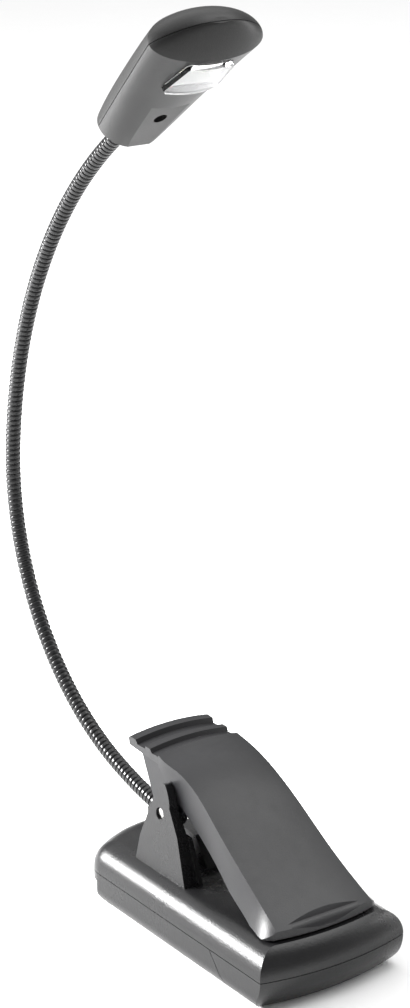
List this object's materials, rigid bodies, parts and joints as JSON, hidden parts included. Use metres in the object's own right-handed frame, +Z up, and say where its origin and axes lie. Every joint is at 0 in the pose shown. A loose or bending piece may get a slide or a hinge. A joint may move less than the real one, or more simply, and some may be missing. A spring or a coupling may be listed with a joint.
{
  "type": "clip on reading lamp",
  "caption": "Battery reading lamp: sprung clip base, flexible gooseneck and small tapered lamp head with a sliding switch on its back.",
  "frame": {"origin": "on the flat underside of the base, in its middle plane, midway between its side corners", "axes": "+X toward the jaw's mouth, away from the neck; +Y to the far side across the base; +Z up"},
  "size_m": [0.1739, 0.051, 0.2693],
  "materials": {
    "case_black": "semi-gloss moulded plastic",
    "neck_black": "satin black, spiral wound",
    "sleeve_brass": "plain",
    "inner_black": "matt moulded plastic",
    "grip_rubber": "matt, finely ribbed",
    "spring_steel": "bright drawn wire",
    "contact_nickel": "nickel plated",
    "screw_black": "black oxide",
    "cell_wrap": "plain printed wrap, no marks",
    "wire_sleeve": "insulation, red and black",
    "lens_clear": "clear moulded acrylic",
    "reflector_white": "white",
    "board_green": "solder mask",
    "resistor_body": "matt",
    "led_clear": "clear resin"
  },
  "bodies": {
    "base": {"base_top_shell": "case_black", "front_shell": "case_black", "cell_tray": "inner_black", "battery_cell_near": "cell_wrap", "battery_cell_middle": "cell_wrap", "battery_cell_far": "cell_wrap", "contact_plates": "contact_nickel", "contact_springs": "contact_nickel", "pivot_pin": "spring_steel", "torsion_spring": "spring_steel", "lower_jaw_pad": "grip_rubber", "base_leads": "wire_sleeve", "base_ferrule": "sleeve_brass", "case_screws": "screw_black", "neck_segment_1": "neck_black", "neck_wires_1": "wire_sleeve"},
    "clamp_lever": {"clip_lever": "case_black", "upper_jaw_pad": "grip_rubber"},
    "battery_cover": {"battery_door": "case_black"},
    "neck_link_2": {"neck_segment_2": "neck_black", "neck_wires_2": "wire_sleeve"},
    "neck_link_3": {"neck_segment_3": "neck_black", "neck_wires_3": "wire_sleeve"},
    "neck_link_4": {"neck_segment_4": "neck_black", "neck_wires_4": "wire_sleeve"},
    "neck_link_5": {"neck_segment_5": "neck_black", "neck_wires_5": "wire_sleeve"},
    "neck_link_6": {"neck_segment_6": "neck_black", "neck_wires_6": "wire_sleeve"},
    "neck_link_7": {"neck_segment_7": "neck_black", "neck_wires_7": "wire_sleeve"},
    "head": {"neck_segment_8": "neck_black", "neck_wires_8": "wire_sleeve", "head_ferrule": "sleeve_brass", "head_top_cover": "case_black", "head_bottom_cover": "case_black", "lens": "lens_clear", "reflector": "reflector_white", "led_board": "board_green", "led_near": "led_clear", "led_far": "led_clear", "board_resistors": "resistor_body", "switch_body": "inner_black", "head_screw": "screw_black", "head_leads": "wire_sleeve"},
    "switch": {"switch_slider": "case_black"}
  },
  "joints": [
    {"name": "clamp_open", "type": "hinge", "parent": "base", "child": "clamp_lever", "pos_m": [-0.0173, 0, 0.0365], "axis": [0, -1, 0], "range_deg": [0, 24], "stiffness_Nm_per_rad": 0.12, "springref_deg": -34.38, "deforming": ["torsion_spring"]},
    {"name": "battery_door_slide", "type": "slide", "parent": "base", "child": "battery_cover", "axis": [-1, 0, 0], "range_m": [0, 0.06]},
    {"name": "neck_tilt_1", "type": "hinge", "parent": "base", "child": "neck_link_2", "pos_m": [-0.07082, 0, 0.03139], "axis": [0, 1, 0], "range_deg": [-25, 20]},
    {"name": "neck_swing_2", "type": "hinge", "parent": "neck_link_2", "child": "neck_link_3", "pos_m": [-0.1032, 0, 0.05397], "axis": [-0.7463, 0, -0.6656], "range_deg": [-30, 30]},
    {"name": "neck_tilt_3", "type": "hinge", "parent": "neck_link_3", "child": "neck_link_4", "pos_m": [-0.12195, 0, 0.08871], "axis": [0, 1, 0], "range_deg": [-25, 20]},
    {"name": "neck_swing_4", "type": "hinge", "parent": "neck_link_4", "child": "neck_link_5", "pos_m": [-0.12333, 0, 0.12821], "axis": [-0.9885, 0, 0.1512], "range_deg": [-30, 30]},
    {"name": "neck_tilt_5", "type": "hinge", "parent": "neck_link_5", "child": "neck_link_6", "pos_m": [-0.11216, 0, 0.16632], "axis": [0, 1, 0], "range_deg": [-25, 20]},
    {"name": "neck_swing_6", "type": "hinge", "parent": "neck_link_6", "child": "neck_link_7", "pos_m": [-0.09136, 0, 0.20015], "axis": [-0.7746, 0, 0.6324], "range_deg": [-30, 30]},
    {"name": "neck_tilt_7", "type": "hinge", "parent": "neck_link_7", "child": "head", "pos_m": [-0.06243, 0, 0.22738], "axis": [0, 1, 0], "range_deg": [-25, 20]},
    {"name": "switch_travel", "type": "slide", "parent": "head", "child": "switch", "axis": [0.7923, 0, 0.6101], "range_m": [0, 0.0045]}
  ]
}
